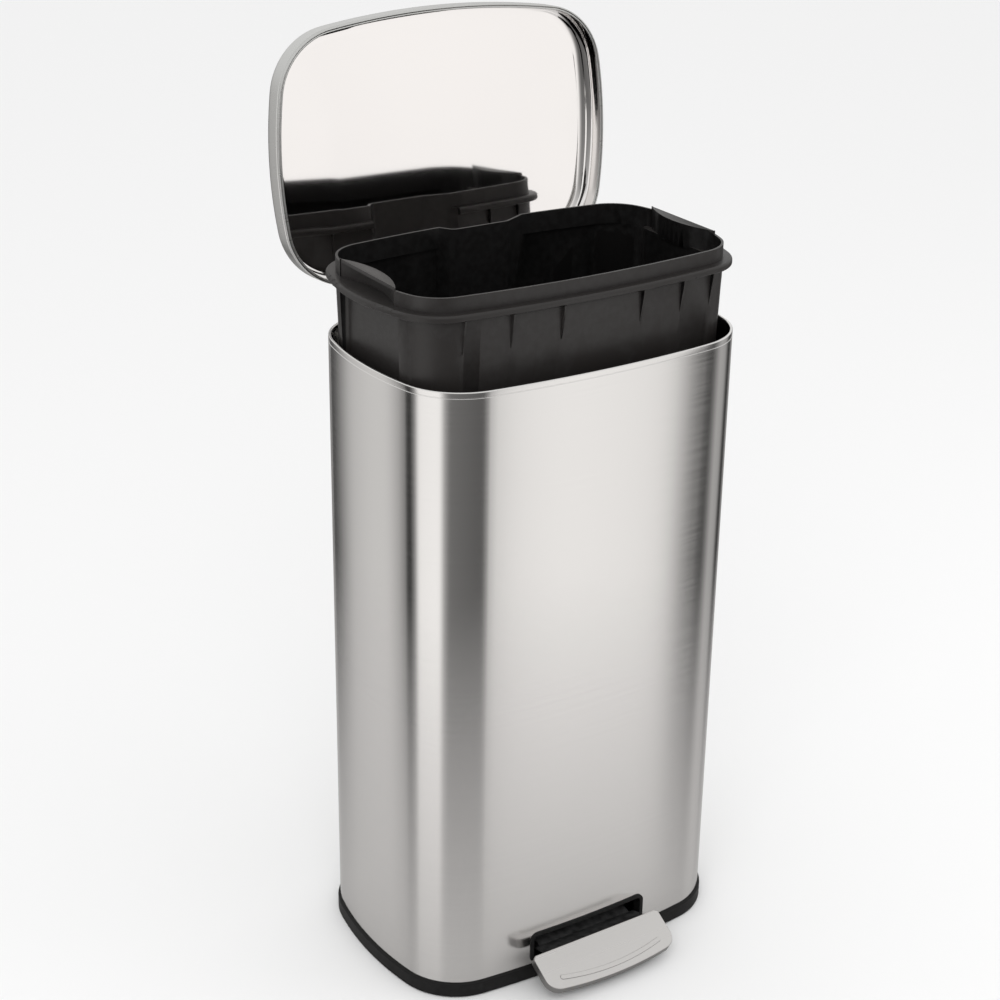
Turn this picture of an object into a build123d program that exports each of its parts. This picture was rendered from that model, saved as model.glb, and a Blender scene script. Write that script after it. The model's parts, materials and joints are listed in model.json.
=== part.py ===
from build123d import *
import math
import os

os.makedirs("parts", exist_ok=True)

# A pedal trash can, stored open: lid back on its stop, pedal pressed, inner bucket raised.
# Millimetres. The origin is on the floor under the middle of the steel shell.
# +X is to the right seen from the front, -Y is the front, +Z is up.

# Outlines are (half width, half depth, corner radius, front bow, side bow)
shell_size = (173.0, 118.0, 61.0, 6.0, 5.0)
lid_size = (172.5, 122.5, 62.0, 8.0, 4.0)
collar_size = (170.2, 94.5, 39.0, 7.5, 7.5)
bucket_wall_size = (169.8, 98.2, 44.0, 7.5, 7.0)
bucket_foot_size = (152.0, 82.0, 34.0, 5.0, 5.0)

# Steel shell and base
shell_top = 600.0
sheet = 0.8
rim_width = 2.6
rim_height = 5.0
tray_under = 1.2
tray_floor = 5.2
tray_top = 15.0
tray_proud = 2.2
slot_half_width = 63.2
slot_low = 17.0
slot_high = 47.5
slot_corner = 6.0
bezel_width = 1.8
notch_half_width = 30.0
notch_floor = 582.0
foot_x = 118.0
foot_y = 66.0

# Mechanism cover over the lever
cover_low = 72.0
cover_high = 74.2
post_x = 126.0
post_y = 60.0

# Lid, drawn closed and then swung open about its hinge
lid_hem_z = 607.4
lid_height = 26.0
lid_skin = 0.9
hem_width = 3.0
hem_height = 3.4
lid_edge_radius = 9.0
panel_depth = 20.2
hinge_y = 130.5
hinge_z = 604.5
open_angle = 93.6
pin_radius = 2.5

# Lug on the lid bracket that the lift rod pushes, relative to the hinge with the lid closed
lug_y = -25.0
lug_z = -16.0
lug_radius = 4.0

# Pedal and lever
pivot_y = -68.0
pivot_z = 24.0
press_angle = 13.0
pivot_radius = 3.0
pad_rear_y = -130.2
pad_rear_z = 36.3
pad_tilt = 28.2
pad_half_width = 72.0
pad_length = 43.8
pad_bow = 6.4
pad_thick = 9.0
pad_cap = 1.8
plate = 2.0

# Lift rod and damper
rod_y = 105.5
rod_radius = 2.5
rod_foot_low = 66.1
rod_top = 623.0
damper_x = 20.0
damper_y = 107.5
damper_low = 92.0
damper_high = 152.0
damper_radius = 7.0

# Inner bucket, drawn with its collar top at zero and then raised
bucket_top = 673.8
bucket_y = 2.5
bucket_height = 540.0
bucket_wall = 2.2
flange_low = -19.0
flange_high = -12.8
flange_proud = 8.5
grip_half_length = 47.0
grip_bow = 12.0
grip_rise = 2.5
grip_thick = 3.0
grip_chord = 164.0
side_recess_x = 157.0
side_recess_low = -150.0
back_recess_y = 81.5
back_recess_low = -95.0
rib_places = (-126.0, -82.0, -34.0, 48.0, 93.0, 128.0)
rear_rib_from = 70.0

# Running and assembly gaps
run_gap = 0.06
snug_gap = 0.02
hinge_axis = Axis((0, hinge_y, hinge_z), (1, 0, 0))


def outline(size, inset=0.0):
    # Rounded rectangle with bowed sides: eight arcs that meet tangentially
    half_width, half_depth, corner, front_bow, side_bow = size
    centre_x = half_width - side_bow - corner
    centre_y = half_depth - front_bow - corner
    radius = corner - inset
    front_angle = math.asin(2 * front_bow * centre_x / (centre_x**2 + front_bow**2))
    side_angle = math.asin(2 * side_bow * centre_y / (centre_y**2 + side_bow**2))
    angles = (side_angle, (side_angle + math.pi / 2 - front_angle) / 2, math.pi / 2 - front_angle)
    near, middle, far = [
        (centre_x + radius * math.cos(angle), centre_y + radius * math.sin(angle)) for angle in angles
    ]
    right = (half_width - inset, 0)
    back = (0, half_depth - inset)

    def at(point, sign_x, sign_y):
        return (point[0] * sign_x, point[1] * sign_y)

    edges = [
        ThreePointArc(at(near, 1, -1), right, near),
        ThreePointArc(near, middle, far),
        ThreePointArc(far, back, at(far, -1, 1)),
        ThreePointArc(at(far, -1, 1), at(middle, -1, 1), at(near, -1, 1)),
        ThreePointArc(at(near, -1, 1), at(right, -1, 1), at(near, -1, -1)),
        ThreePointArc(at(near, -1, -1), at(middle, -1, -1), at(far, -1, -1)),
        ThreePointArc(at(far, -1, -1), at(back, 1, -1), at(far, 1, -1)),
        ThreePointArc(at(far, 1, -1), at(middle, 1, -1), at(near, 1, -1)),
    ]
    return make_face(edges)


def rise(face, low, high):
    return extrude(Pos(0, 0, low) * face, amount=high - low, dir=(0, 0, 1))


def slab(size, low, high, inset=0.0):
    return rise(outline(size, inset), low, high)


def ring(size, low, high, outer=0.0, inner=1.0):
    return slab(size, low, high, outer) - slab(size, low - 1, high + 1, inner)


def box(x, y, z):
    # Block between three pairs of limits
    middle = [(low + high) / 2 for low, high in (x, y, z)]
    return Pos(*middle) * Box(x[1] - x[0], y[1] - y[0], z[1] - z[0])


def bar_x(y, z, radius, low, high):
    return Pos((low + high) / 2, y, z) * Rot(0, 90, 0) * Cylinder(radius, abs(high - low))


def bar_y(x, z, radius, low, high):
    return Pos(x, (low + high) / 2, z) * Rot(90, 0, 0) * Cylinder(radius, abs(high - low))


def bar_z(x, y, radius, low, high):
    return Pos(x, y, (low + high) / 2) * Cylinder(radius, abs(high - low))


def side_profile(points, half_width):
    # Outline in the YZ plane, pulled both ways along X
    return extrude(make_face(Plane.YZ * Polyline(*points, close=True)), amount=half_width, both=True)


def front_window(half_width, low, high, radius, near, far):
    # Rounded opening seen from the front, from y = near to y = far
    middle = (low + high) / 2
    shape = Plane((0, near, middle), x_dir=(1, 0, 0), z_dir=(0, -1, 0))
    face = shape * RectangleRounded(2 * half_width, high - low, radius)
    return extrude(face, amount=far - near, dir=(0, 1, 0))


def swung_open(shape):
    return shape.rotate(hinge_axis, -open_angle)


def pressed(shape):
    # From the lever's level position about its pivot to the pressed one
    return Pos(0, pivot_y, pivot_z) * Rot(press_angle, 0, 0) * shape


def on_pad(shape):
    return Pos(0, pad_rear_y, pad_rear_z) * Rot(pad_tilt, 0, 0) * shape


def mirrored_x(shape):
    return mirror(shape, Plane.YZ)


def inside_shell(shape):
    return shape & slab(shell_size, 0, shell_top + 60, sheet)


def save(name, *solids):
    shape = solids[0] if len(solids) == 1 else Compound(children=list(solids))
    export_step(shape, "parts/" + name + ".step")


# Steel shell


def outer_shell():
    wall = ring(shell_size, tray_floor, shell_top, 0, sheet)
    hem = ring(shell_size, shell_top - rim_height, shell_top, sheet / 2, rim_width)
    body = wall + hem
    body = fillet(body.edges().group_by(Axis.Z)[-1], 0.45)
    body -= front_window(slot_half_width, slot_low, slot_high, slot_corner, -140, -90)
    body -= box((-notch_half_width, notch_half_width), (90, 140), (notch_floor, shell_top + 9))
    for x, z in hinge_screw_places():
        body -= bar_y(x, z, 1.65, 110, 125)
    return body


def hinge_screw_places():
    return [(x, z) for x in (-24, 24) for z in (563, 575)]


# Base


def base_tray():
    body = slab(shell_size, tray_under, tray_top, -tray_proud)
    body = fillet(body.edges().group_by(Axis.Z)[-1], 1.6)
    body -= slab(shell_size, tray_floor, tray_top + 5, -snug_gap)
    for x, y in corner_places(foot_x, foot_y):
        body -= bar_z(x, y, 11.1, 0, tray_under + 1.2)
    for x, y in corner_places(post_x - 30, post_y):
        body -= bar_z(x, y, 4.1, 0, tray_under + 2.1)
        body -= bar_z(x, y, 1.75, 0, 30)
    for x, y in bracket_rivet_places():
        body -= bar_z(x, y, 2.02, tray_floor - 2, 30)
    # Low ribs that stiffen the floor around the lever
    for x in (-84, 84):
        body += box((x - 1, x + 1), (-88, 88), (tray_floor, tray_floor + 6))
    return body


def corner_places(x, y):
    return [(sign_x * x, sign_y * y) for sign_x in (-1, 1) for sign_y in (-1, 1)]


def foot_pads():
    pads = []
    for x, y in corner_places(foot_x, foot_y):
        pad = bar_z(x, y, 11, 0, tray_under + 1.2)
        pads.append(fillet(pad.edges().group_by(Axis.Z)[0], 0.8))
    return pads


def base_screws():
    screws = []
    for x, y in corner_places(post_x - 30, post_y):
        head = bar_z(x, y, 3.8, tray_under + 0.3, tray_under + 2.1)
        head -= box((x - 3, x + 3), (y - 0.4, y + 0.4), (tray_under, tray_under + 1.2))
        head -= box((x - 0.4, x + 0.4), (y - 3, y + 3), (tray_under, tray_under + 1.2))
        screws.append(head + bar_z(x, y, 1.7, tray_under + 2.1, 24))
    return screws


def mechanism_cover():
    body = slab(shell_size, cover_low, cover_high, sheet + 0.4)
    body += ring(shell_size, cover_low - 8, cover_low, sheet + 0.4, sheet + 2.4)
    for x, y in corner_places(post_x - 30, post_y):
        body += bar_z(x, y, 6, tray_floor, cover_low)
    for x, y in corner_places(post_x - 30, post_y):
        body -= bar_z(x, y, 1.75, tray_floor - 1, 26)
    body -= box((-14, 30), (95.5, 130), (cover_low - 20, cover_high + 5))
    return body


def pedal_slot_bezel():
    ring_out = front_window(
        slot_half_width + bezel_width, slot_low - 1.4, slot_high + bezel_width, slot_corner + 2, -140, -90
    )
    ring_mid = front_window(slot_half_width, slot_low, slot_high, slot_corner, -140, -90)
    ring_in = front_window(
        slot_half_width - bezel_width, slot_low + 1.2, slot_high - bezel_width, slot_corner - 2, -140, -90
    )
    lip = ring_out & ring(shell_size, 0, 90, -1.1, 0)
    sleeve = ring_mid & ring(shell_size, 0, 90, -1.1, 9)
    return lip + sleeve - ring_in


# Pivot of the pedal lever


def bracket_rivet_places():
    return [(side * 68, pivot_y + step) for side in (-1, 1) for step in (-10, 10)]


def pivot_bracket_right():
    ear_profile = Plane.YZ.offset(57) * Pos(pivot_y, 0) * make_ear()
    body = extrude(ear_profile, amount=plate)
    body += box((57, 76), (pivot_y - 16, pivot_y + 16), (tray_floor, tray_floor + plate))
    body -= bar_x(pivot_y, pivot_z, pivot_radius + snug_gap, 50, 70)
    for x, y in bracket_rivet_places():
        body -= bar_z(x, y, 2.02, 0, 20)
    return body


def make_ear():
    ear = Polyline(
        (-14, tray_floor), (14, tray_floor), (14, tray_floor + 6), (8, pivot_z), (-8, pivot_z),
        (-14, tray_floor + 6), close=True
    )
    return make_face(ear) + Pos(0, pivot_z) * Circle(8)


def bracket_rivets():
    rivets = []
    for x, y in bracket_rivet_places():
        head = bar_z(x, y, 3.6, tray_floor + plate, tray_floor + plate + 1.6)
        head = fillet(head.edges().group_by(Axis.Z)[-1], 1.2)
        rivets.append(head + bar_z(x, y, 2.0, tray_floor - 2, tray_floor + plate))
    return rivets


def pedal_pivot_pin():
    pin = bar_x(pivot_y, pivot_z, pivot_radius, -62, 62)
    for side in (-1, 1):
        pin -= bar_x(pivot_y, pivot_z, 9, side * 60.35, side * 59.25) - bar_x(pivot_y, pivot_z, 2.3, -62, 62)
    return pin


def pin_clips():
    clips = []
    for side in (-1, 1):
        clip = bar_x(pivot_y, pivot_z, 5.5, side * 60.3, side * 59.3)
        clip -= bar_x(pivot_y, pivot_z, 2.3 + snug_gap, -62, 62)
        clip -= box((-62, 62), (pivot_y - 1.6, pivot_y + 1.6), (pivot_z - 8, pivot_z))
        clips.append(clip)
    return clips


# Pedal


def pad_outline(inset=0.0):
    # Straight rear edge, bowed front edge, small rear corners and large front ones
    half = pad_half_width - inset
    rear = -inset
    front_middle = -pad_length + inset
    front_end = -pad_length + pad_bow + inset
    rear_corner = 5.0
    front_corner = 14.0
    edge = Polyline((-half, front_end), (-half, rear), (half, rear), (half, front_end))
    bow = ThreePointArc((half, front_end), (0, front_middle), (-half, front_end))
    face = make_face([*edge.edges(), bow])
    corners = face.vertices().sort_by(Axis.Y)
    face = fillet(corners[-2:], rear_corner - inset / 2)
    return fillet(face.vertices().sort_by(Axis.Y)[:2], front_corner - inset)


def pedal_pad():
    body = rise(pad_outline(), -pad_thick, 0)
    body = fillet(body.edges().group_by(Axis.Z)[-1], 1.3)
    body -= rise(pad_outline(2.0), -pad_thick - 1, -pad_cap)
    body -= box((-58, 58), (-3, 1), (-pad_thick - 1, -pad_cap))
    for x in pedal_screw_places():
        body -= bar_z(x, -20, 1.62, -pad_cap - 1, -0.9)
    reach = 55.0
    front = -31.4
    rear = -26.8
    middle = (front + rear) / 2
    strip_front = ThreePointArc((-reach, front), (0, front - pad_bow), (reach, front))
    strip_rear = ThreePointArc((reach, rear), (0, rear - pad_bow), (-reach, rear))
    right_end = ThreePointArc((reach, front), (reach + 2.3, middle), (reach, rear))
    left_end = ThreePointArc((-reach, rear), (-reach - 2.3, middle), (-reach, front))
    strip = make_face([strip_front, right_end, strip_rear, left_end])
    body += rise(strip, -0.5, 0.9)
    return on_pad(body)


def pedal_screw_places():
    return (-42, 0, 42)


def pedal_lever():
    fold = pad_tilt - press_angle
    start = pressed_inverse((0, -1.9))
    length = pad_length - 7
    tip = (start[0] - length * math.cos(math.radians(fold)), start[1] - length * math.sin(math.radians(fold)))
    web_front = (-42.0, 15.0)
    web_rear = (10.0, 15.0)
    step_rear = (26.0, -1.0)
    tail = (173.0, -1.0)
    pad_plate = side_profile(thick_line([tip, start, web_front]), 57)
    web = side_profile(thick_line([web_front, web_rear]), 52)
    tongue = side_profile(thick_line([web_rear, step_rear, tail]), 13)
    body = pad_plate + web + tongue
    for side in (-1, 1):
        flange = side_profile([(-44, 12), (-44, 15), (14, 15), (14, -2), (6, -7), (-8, -7)], plate / 2)
        body += Pos(side * (52 - plate / 2), 0, 0) * flange
        rib = side_profile([(24, -3), (173, -3), (173, -6), (150, -9), (40, -9)], plate / 2)
        body += Pos(side * (13 - plate / 2), 0, 0) * rib
    # Wings that widen the tongue where it leaves the web
    gusset = Polyline((-40, 6), (40, 6), (13, 40), (-13, 40), close=True)
    body += rise(make_face(gusset), 12.9, 14.9) & box((-60, 60), (-50, 11), (0, 20))
    body -= bar_x(0, 0, 4.5 + snug_gap, -60, 60)
    body = pressed(body)
    for x in pedal_screw_places():
        body -= on_pad(bar_z(x, -20, 1.65, -12, 0))
    return body


def pressed_inverse(pad_point):
    # A point of the pad's side view, (along, up), in the level lever's side view from its pivot
    tilt = math.radians(pad_tilt)
    y = pad_rear_y - pivot_y + pad_point[0] * math.cos(tilt) - pad_point[1] * math.sin(tilt)
    z = pad_rear_z - pivot_z + pad_point[0] * math.sin(tilt) + pad_point[1] * math.cos(tilt)
    back = math.radians(-press_angle)
    return (y * math.cos(back) - z * math.sin(back), y * math.sin(back) + z * math.cos(back))


def thick_line(points):
    below = [(y, z - plate) for y, z in reversed(points)]
    return list(points) + below


def pedal_screws():
    screws = []
    for x in pedal_screw_places():
        head = bar_z(x, -20, 3.4, -6.0, -4.2)
        screws.append(on_pad(head + bar_z(x, -20, 1.6, -4.2, -1.0)))
    return screws


def lever_bushes():
    bushes = []
    for side in (-1, 1):
        bush = bar_x(0, 0, 4.5, side * 56.0, side * 47.0) + bar_x(0, 0, 6.0, side * 56.0, side * 53.0)
        bush -= bar_x(0, 0, pivot_radius + run_gap, -60, 60)
        bushes.append(pressed(bush))
    return bushes


def lever_cap():
    body = box((-15.5, 15.5), (158, 174.5), (-5.5, 1.5))
    body = fillet(body.edges().filter_by(Axis.X), 1.4)
    body -= box((-13.0, 13.0), (150, 173.0), (-3.0, -1.0))
    body -= box((-13.0, -11.0), (150, 173.0), (-6.0, -3.0))
    body -= box((11.0, 13.0), (150, 173.0), (-6.0, -3.0))
    body -= box((-10.9, 10.9), (150, 172.0), (-6.0, -3.0))
    return pressed(body)


# Lift rod and damper


def lift_rod():
    return bar_z(0, rod_y, rod_radius, rod_foot_low + 2, rod_top - 6)


def rod_foot():
    body = box((-10, damper_x + 6), (rod_y - 6.5, rod_y + 7.5), (rod_foot_low, rod_foot_low + 8))
    body = fillet(body.edges().filter_by(Axis.Z), 3)
    body -= bar_z(0, rod_y, rod_radius + snug_gap, rod_foot_low + 2, rod_foot_low + 10)
    body -= bar_z(damper_x, damper_y, 2 + snug_gap, rod_foot_low + 4, rod_foot_low + 10)
    return body


def rod_cap():
    body = bar_z(0, rod_y, 4.5, rod_top - 12, rod_top)
    body = fillet(body.edges().group_by(Axis.Z)[-1], 1.5)
    return body - bar_z(0, rod_y, rod_radius + snug_gap, rod_top - 13, rod_top - 6)


def rod_guides():
    guides = []
    for low in (160, 530):
        guide = inside_shell(box((-11, 11), (rod_y - 6, 125), (low, low + 12)))
        guides.append(guide - bar_z(0, rod_y, rod_radius + run_gap, low - 1, low + 13))
    return guides


def rod_channel():
    low = 176
    high = 526
    body = box((-13, 13), (99, 125), (low, high)) - box((-12, 12), (100, 130), (low - 1, high + 1))
    body += box((-22, -12), (90, 125), (low, high)) & ring(shell_size, low, high, sheet, sheet + 1)
    body += box((12, 22), (90, 125), (low, high)) & ring(shell_size, low, high, sheet, sheet + 1)
    return inside_shell(body)


def damper_body():
    body = bar_z(damper_x, damper_y, damper_radius, damper_low, damper_high)
    body = fillet(body.edges().group_by(Axis.Z)[-1], 1.2)
    body -= bar_z(damper_x, damper_y, damper_radius - 1.4, damper_low + 3, damper_high - 3)
    return body - bar_z(damper_x, damper_y, 2 + run_gap, damper_low - 1, damper_low + 4)


def damper_plunger():
    stem = bar_z(damper_x, damper_y, 2, rod_foot_low + 4, 138)
    return stem + bar_z(damper_x, damper_y, damper_radius - 1.4 - run_gap, 136, 141)


def damper_clamp():
    block = inside_shell(box((damper_x - 11, damper_x + 11), (damper_y - 9, 125), (114, 128)))
    return block - bar_z(damper_x, damper_y, damper_radius + snug_gap, 110, 130)


# Hinge


def hinge_cheek():
    drop = Polyline(
        (118.3, 556), (118.3, 600), (124.2, 600), (124.2, hinge_z), (137, hinge_z), (137, 572),
        (131, 556), close=True
    )
    side = make_face(drop) + Pos(hinge_y, hinge_z) * Circle(6.5)
    return extrude(Plane.YZ * side, amount=3.75, both=True)


def hinge_housing():
    body = box((-38, 38), (118.3, 121.3), (556, 600))
    body -= box((-29, 29), (110, 130), (notch_floor, 610))
    body += box((-38, 38), (118.3, 131), (556, 559))
    for side in (-1, 1):
        body += Pos(side * 34.25, 0, 0) * hinge_cheek()
    body -= bar_x(hinge_y, hinge_z, pin_radius + snug_gap, -40, 40)
    for x, z in hinge_screw_places():
        body -= bar_y(x, z, 1.65, 110, 121)
    return body


def hinge_cover():
    body = box((-38, 38), (137.2, 139.6), (557, 602.6))
    body = fillet(body.edges().filter_by(Axis.Y), 5)
    body = fillet(body.faces().sort_by(Axis.Y)[-1].edges(), 1.0)
    body += box((-18, 18), (138.4, 145), (600, 602.6))
    return body


def lid_stop_pad():
    body = box((-12, 12), (139, 144), (602.6, 608.4))
    return fillet(body.edges().group_by(Axis.Z)[-1], 0.8)


def hinge_pin():
    pin = bar_x(hinge_y, hinge_z, pin_radius, -40, 38.6)
    head = bar_x(hinge_y, hinge_z, 3.6, 38.1, 39.8)
    return pin + head


def hinge_backplate():
    plate_body = inside_shell(box((-40, 40), (115.1, 125), (556, 580)))
    for x, z in hinge_screw_places():
        plate_body -= bar_y(x, z, 1.65, 110, 125)
    return plate_body


def hinge_screws():
    screws = []
    for x, z in hinge_screw_places():
        head = bar_y(x, z, 3.2, 112.9, 115.1)
        head -= box((x - 2.4, x + 2.4), (112, 113.9), (z - 0.4, z + 0.4))
        head -= box((x - 0.4, x + 0.4), (112, 113.9), (z - 2.4, z + 2.4))
        screws.append(head + bar_y(x, z, 1.6, 115.1, 120.9))
    return screws


def lid_rivet_places():
    return (-20, 20)


def lid_rivet_holes(shape, radius=2.05):
    for x in lid_rivet_places():
        shape -= bar_y(x, lid_hem_z + 10, radius, 112, 132)
    return shape


def lid_hinge_bracket():
    leaf = box((-28, 28), (120, 124.8), (600.6, lid_hem_z + 18)) - slab(lid_size, 590, 640, -snug_gap)
    leaf = leaf & box((-28, 28), (121, 125), (600.6, 640))
    web = box((-28, 28), (122.8, hinge_y), (600.6, 605.6))
    barrel = bar_x(hinge_y, hinge_z, 6, -29.5, 29.5)
    run = math.hypot(lug_y, lug_z)
    across = (-4 * lug_z / run, 4 * lug_y / run)
    arm_points = [
        (hinge_y + across[0], hinge_z + across[1]),
        (hinge_y + lug_y + across[0], hinge_z + lug_z + across[1]),
        (hinge_y + lug_y - across[0], hinge_z + lug_z - across[1]),
        (hinge_y - across[0], hinge_z - across[1]),
    ]
    arm = side_profile(arm_points, 5)
    lug = bar_x(hinge_y + lug_y, hinge_z + lug_z, lug_radius, -9, 9)
    body = leaf + web + barrel + arm + lug
    body -= bar_x(hinge_y, hinge_z, pin_radius + 0.5, -40, 40)
    for side in (-1, 1):
        body -= bar_x(hinge_y, hinge_z, 4 + snug_gap, side * 17.5, side * 31)
    return swung_open(lid_rivet_holes(body))


def hinge_bushes():
    bushes = []
    for side in (-1, 1):
        bush = bar_x(hinge_y, hinge_z, 4, side * 17.5, side * 29.9)
        bush -= bar_x(hinge_y, hinge_z, pin_radius + run_gap, -40, 40)
        bushes.append(swung_open(bush))
    return bushes


# Lid


def lid_shell():
    body = slab(lid_size, lid_hem_z, lid_hem_z + lid_height)
    body = fillet(body.edges().group_by(Axis.Z)[-1], lid_edge_radius)
    hollow = slab(lid_size, lid_hem_z - 1, lid_hem_z + lid_height - lid_skin, lid_skin)
    hollow = fillet(hollow.edges().group_by(Axis.Z)[-1], lid_edge_radius - lid_skin)
    body -= hollow
    body += ring(lid_size, lid_hem_z, lid_hem_z + hem_height, 0.3, hem_width)
    body = fillet(body.edges().group_by(Axis.Z)[0], 0.6)
    return swung_open(lid_rivet_holes(body))


def lid_inner_panel():
    skirt = lid_skin + 0.1
    low = lid_hem_z + hem_height + 0.1
    high = lid_hem_z + panel_depth + 0.8
    body = slab(lid_size, low, high, skirt)
    body = fillet(body.edges().group_by(Axis.Z)[-1], 4.6)
    hollow = slab(lid_size, low - 1, high - 0.8, skirt + 0.8)
    hollow = fillet(hollow.edges().group_by(Axis.Z)[-1], 3.8)
    return swung_open(lid_rivet_holes(body - hollow))


def lid_bracket_rivets():
    rivets = []
    for x in lid_rivet_places():
        z = lid_hem_z + 10
        outer = bar_y(x, z, 3.6, 124.8, 126.0)
        inner = bar_y(x, z, 3.6, 118.9, 120.0)
        rivets.append(swung_open(outer + inner + bar_y(x, z, 2.0, 120.0, 125.0)))
    return rivets


# Inner bucket


def bucket_mass(inset, floor):
    # Collar above and a slightly tapered wall below, as one solid mass
    body = slab(collar_size, flange_low, 0.01 if inset else 0, inset)
    top = Pos(0, 0, flange_low) * outline(bucket_wall_size, inset)
    foot = Pos(0, 0, floor) * outline(bucket_foot_size, inset)
    return body + loft([foot, top])


def grip_face(inset=0.0):
    # D shape at the right side: straight towards the outside, bowed towards the middle
    reach = grip_half_length - inset
    bow = ThreePointArc((grip_chord, -reach), (grip_chord - grip_bow + inset, 0), (grip_chord, reach))
    edge = Polyline((grip_chord, reach), (grip_chord + 20, reach), (grip_chord + 20, -reach), (grip_chord, -reach))
    return make_face([bow, *edge.edges()])


def both_sides(shape):
    return shape + mirrored_x(shape)


def side_recess(grow=0.0):
    low = side_recess_low - grow
    high = flange_low + grow
    block = box((side_recess_x - grow, 200), (-49 - grow, 49 + grow), (low, high))
    return both_sides(fillet(block.edges().filter_by(Axis.Z).group_by(Axis.X)[0], 6 + grow))


def back_recess(grow=0.0, step=0.0, low=back_recess_low, high=5.0):
    shape = Polyline(
        (-40, 97 + step), (-30, back_recess_y + step), (26, back_recess_y + step), (56, 97 + step),
        (56, 130), (-40, 130), close=True
    )
    face = make_face(shape)
    face = fillet(face.vertices().sort_by(Axis.Y)[:2], 8)
    if grow:
        face = offset(face, grow, kind=Kind.INTERSECTION)
    return rise(face, low - grow, high)


def flange():
    lip = slab(collar_size, flange_low, flange_high, -flange_proud)
    lip = fillet(lip.edges().group_by(Axis.Z)[-1], 2.4)
    lip = fillet(lip.edges().group_by(Axis.Z)[0], 1.6)
    return lip - back_recess(step=flange_proud, low=flange_low - 1)


def gusset_ribs():
    # Thin webs under the flange, deep at the top and running out downwards
    reach = flange_proud - (bucket_wall_size[1] - collar_size[1]) - 0.6
    profile = [(2, 0), (-reach, 0), (-reach, -3), (0.9, -30), (2, -30)]
    ribs = Part()
    for x in rib_places:
        face_y = wall_face_y(x)
        rib = side_profile([(face_y + y, flange_low + z) for y, z in profile], 0.7)
        ribs += Pos(x, 0, 0) * rib
        # None at the rear where the recess is
        if abs(x) > rear_rib_from:
            ribs += mirror(Pos(x, 0, 0) * rib, Plane.XZ)
    return ribs


def wall_face_y(x):
    # Where the front of the wall lies under the flange, at a distance x from the middle
    half_width, half_depth, corner, front_bow, side_bow = bucket_wall_size
    centre_x = half_width - side_bow - corner
    centre_y = half_depth - front_bow - corner
    arc = (centre_x**2 + front_bow**2) / (2 * front_bow) + corner
    tangent = arc * 2 * front_bow * centre_x / (centre_x**2 + front_bow**2)
    if abs(x) <= tangent:
        return -(half_depth - arc + math.sqrt(arc**2 - x**2))
    return -(centre_y + math.sqrt(corner**2 - (abs(x) - centre_x) ** 2))


def inner_bucket():
    wall = bucket_wall
    outer = bucket_mass(0, -bucket_height) + flange()
    ledge = rise(grip_face(), flange_low, grip_rise) & slab(collar_size, flange_low, grip_rise)
    outer += both_sides(ledge)
    cavity = bucket_mass(wall, -bucket_height + 2.6)
    cavity -= both_sides(rise(grip_face(), flange_low, grip_rise + 5))
    cavity -= side_recess(wall)
    cavity -= back_recess(grow=wall)
    body = outer - cavity - back_recess() - side_recess()
    pocket = rise(grip_face(wall), flange_high, grip_rise - grip_thick)
    body -= both_sides(pocket)
    beyond = box((grip_chord, 200), (-grip_half_length + 1.5, grip_half_length - 1.5), (flange_high, 20))
    body -= both_sides(beyond)
    body += gusset_ribs() - bucket_mass(wall, -bucket_height + 2.6)
    return Pos(0, bucket_y, bucket_top) * body


save("outer_shell", outer_shell())
save("base_tray", base_tray())
save("foot_pads", *foot_pads())
save("base_screws", *base_screws())
save("mechanism_cover", mechanism_cover())
save("pedal_slot_bezel", pedal_slot_bezel())
save("pivot_bracket_right", pivot_bracket_right())
save("pivot_bracket_left", mirrored_x(pivot_bracket_right()))
save("bracket_rivets", *bracket_rivets())
save("pedal_pivot_pin", pedal_pivot_pin())
save("pin_clips", *pin_clips())
save("pedal_pad", pedal_pad())
save("pedal_lever", pedal_lever())
save("pedal_screws", *pedal_screws())
save("lever_bushes", *lever_bushes())
save("lever_cap", lever_cap())
save("lift_rod", lift_rod())
save("rod_foot", rod_foot())
save("rod_cap", rod_cap())
save("rod_guides", *rod_guides())
save("rod_channel", rod_channel())
save("damper_body", damper_body())
save("damper_plunger", damper_plunger())
save("damper_clamp", damper_clamp())
save("hinge_housing", hinge_housing())
save("hinge_cover", hinge_cover())
save("lid_stop_pad", lid_stop_pad())
save("hinge_pin", hinge_pin())
save("hinge_backplate", hinge_backplate())
save("hinge_screws", *hinge_screws())
save("lid_hinge_bracket", lid_hinge_bracket())
save("hinge_bushes", *hinge_bushes())
save("lid_shell", lid_shell())
save("lid_inner_panel", lid_inner_panel())
save("lid_bracket_rivets", *lid_bracket_rivets())
save("inner_bucket", inner_bucket())
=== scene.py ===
import bpy
import bmesh
import json
import math
from mathutils import Matrix, Vector


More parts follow.
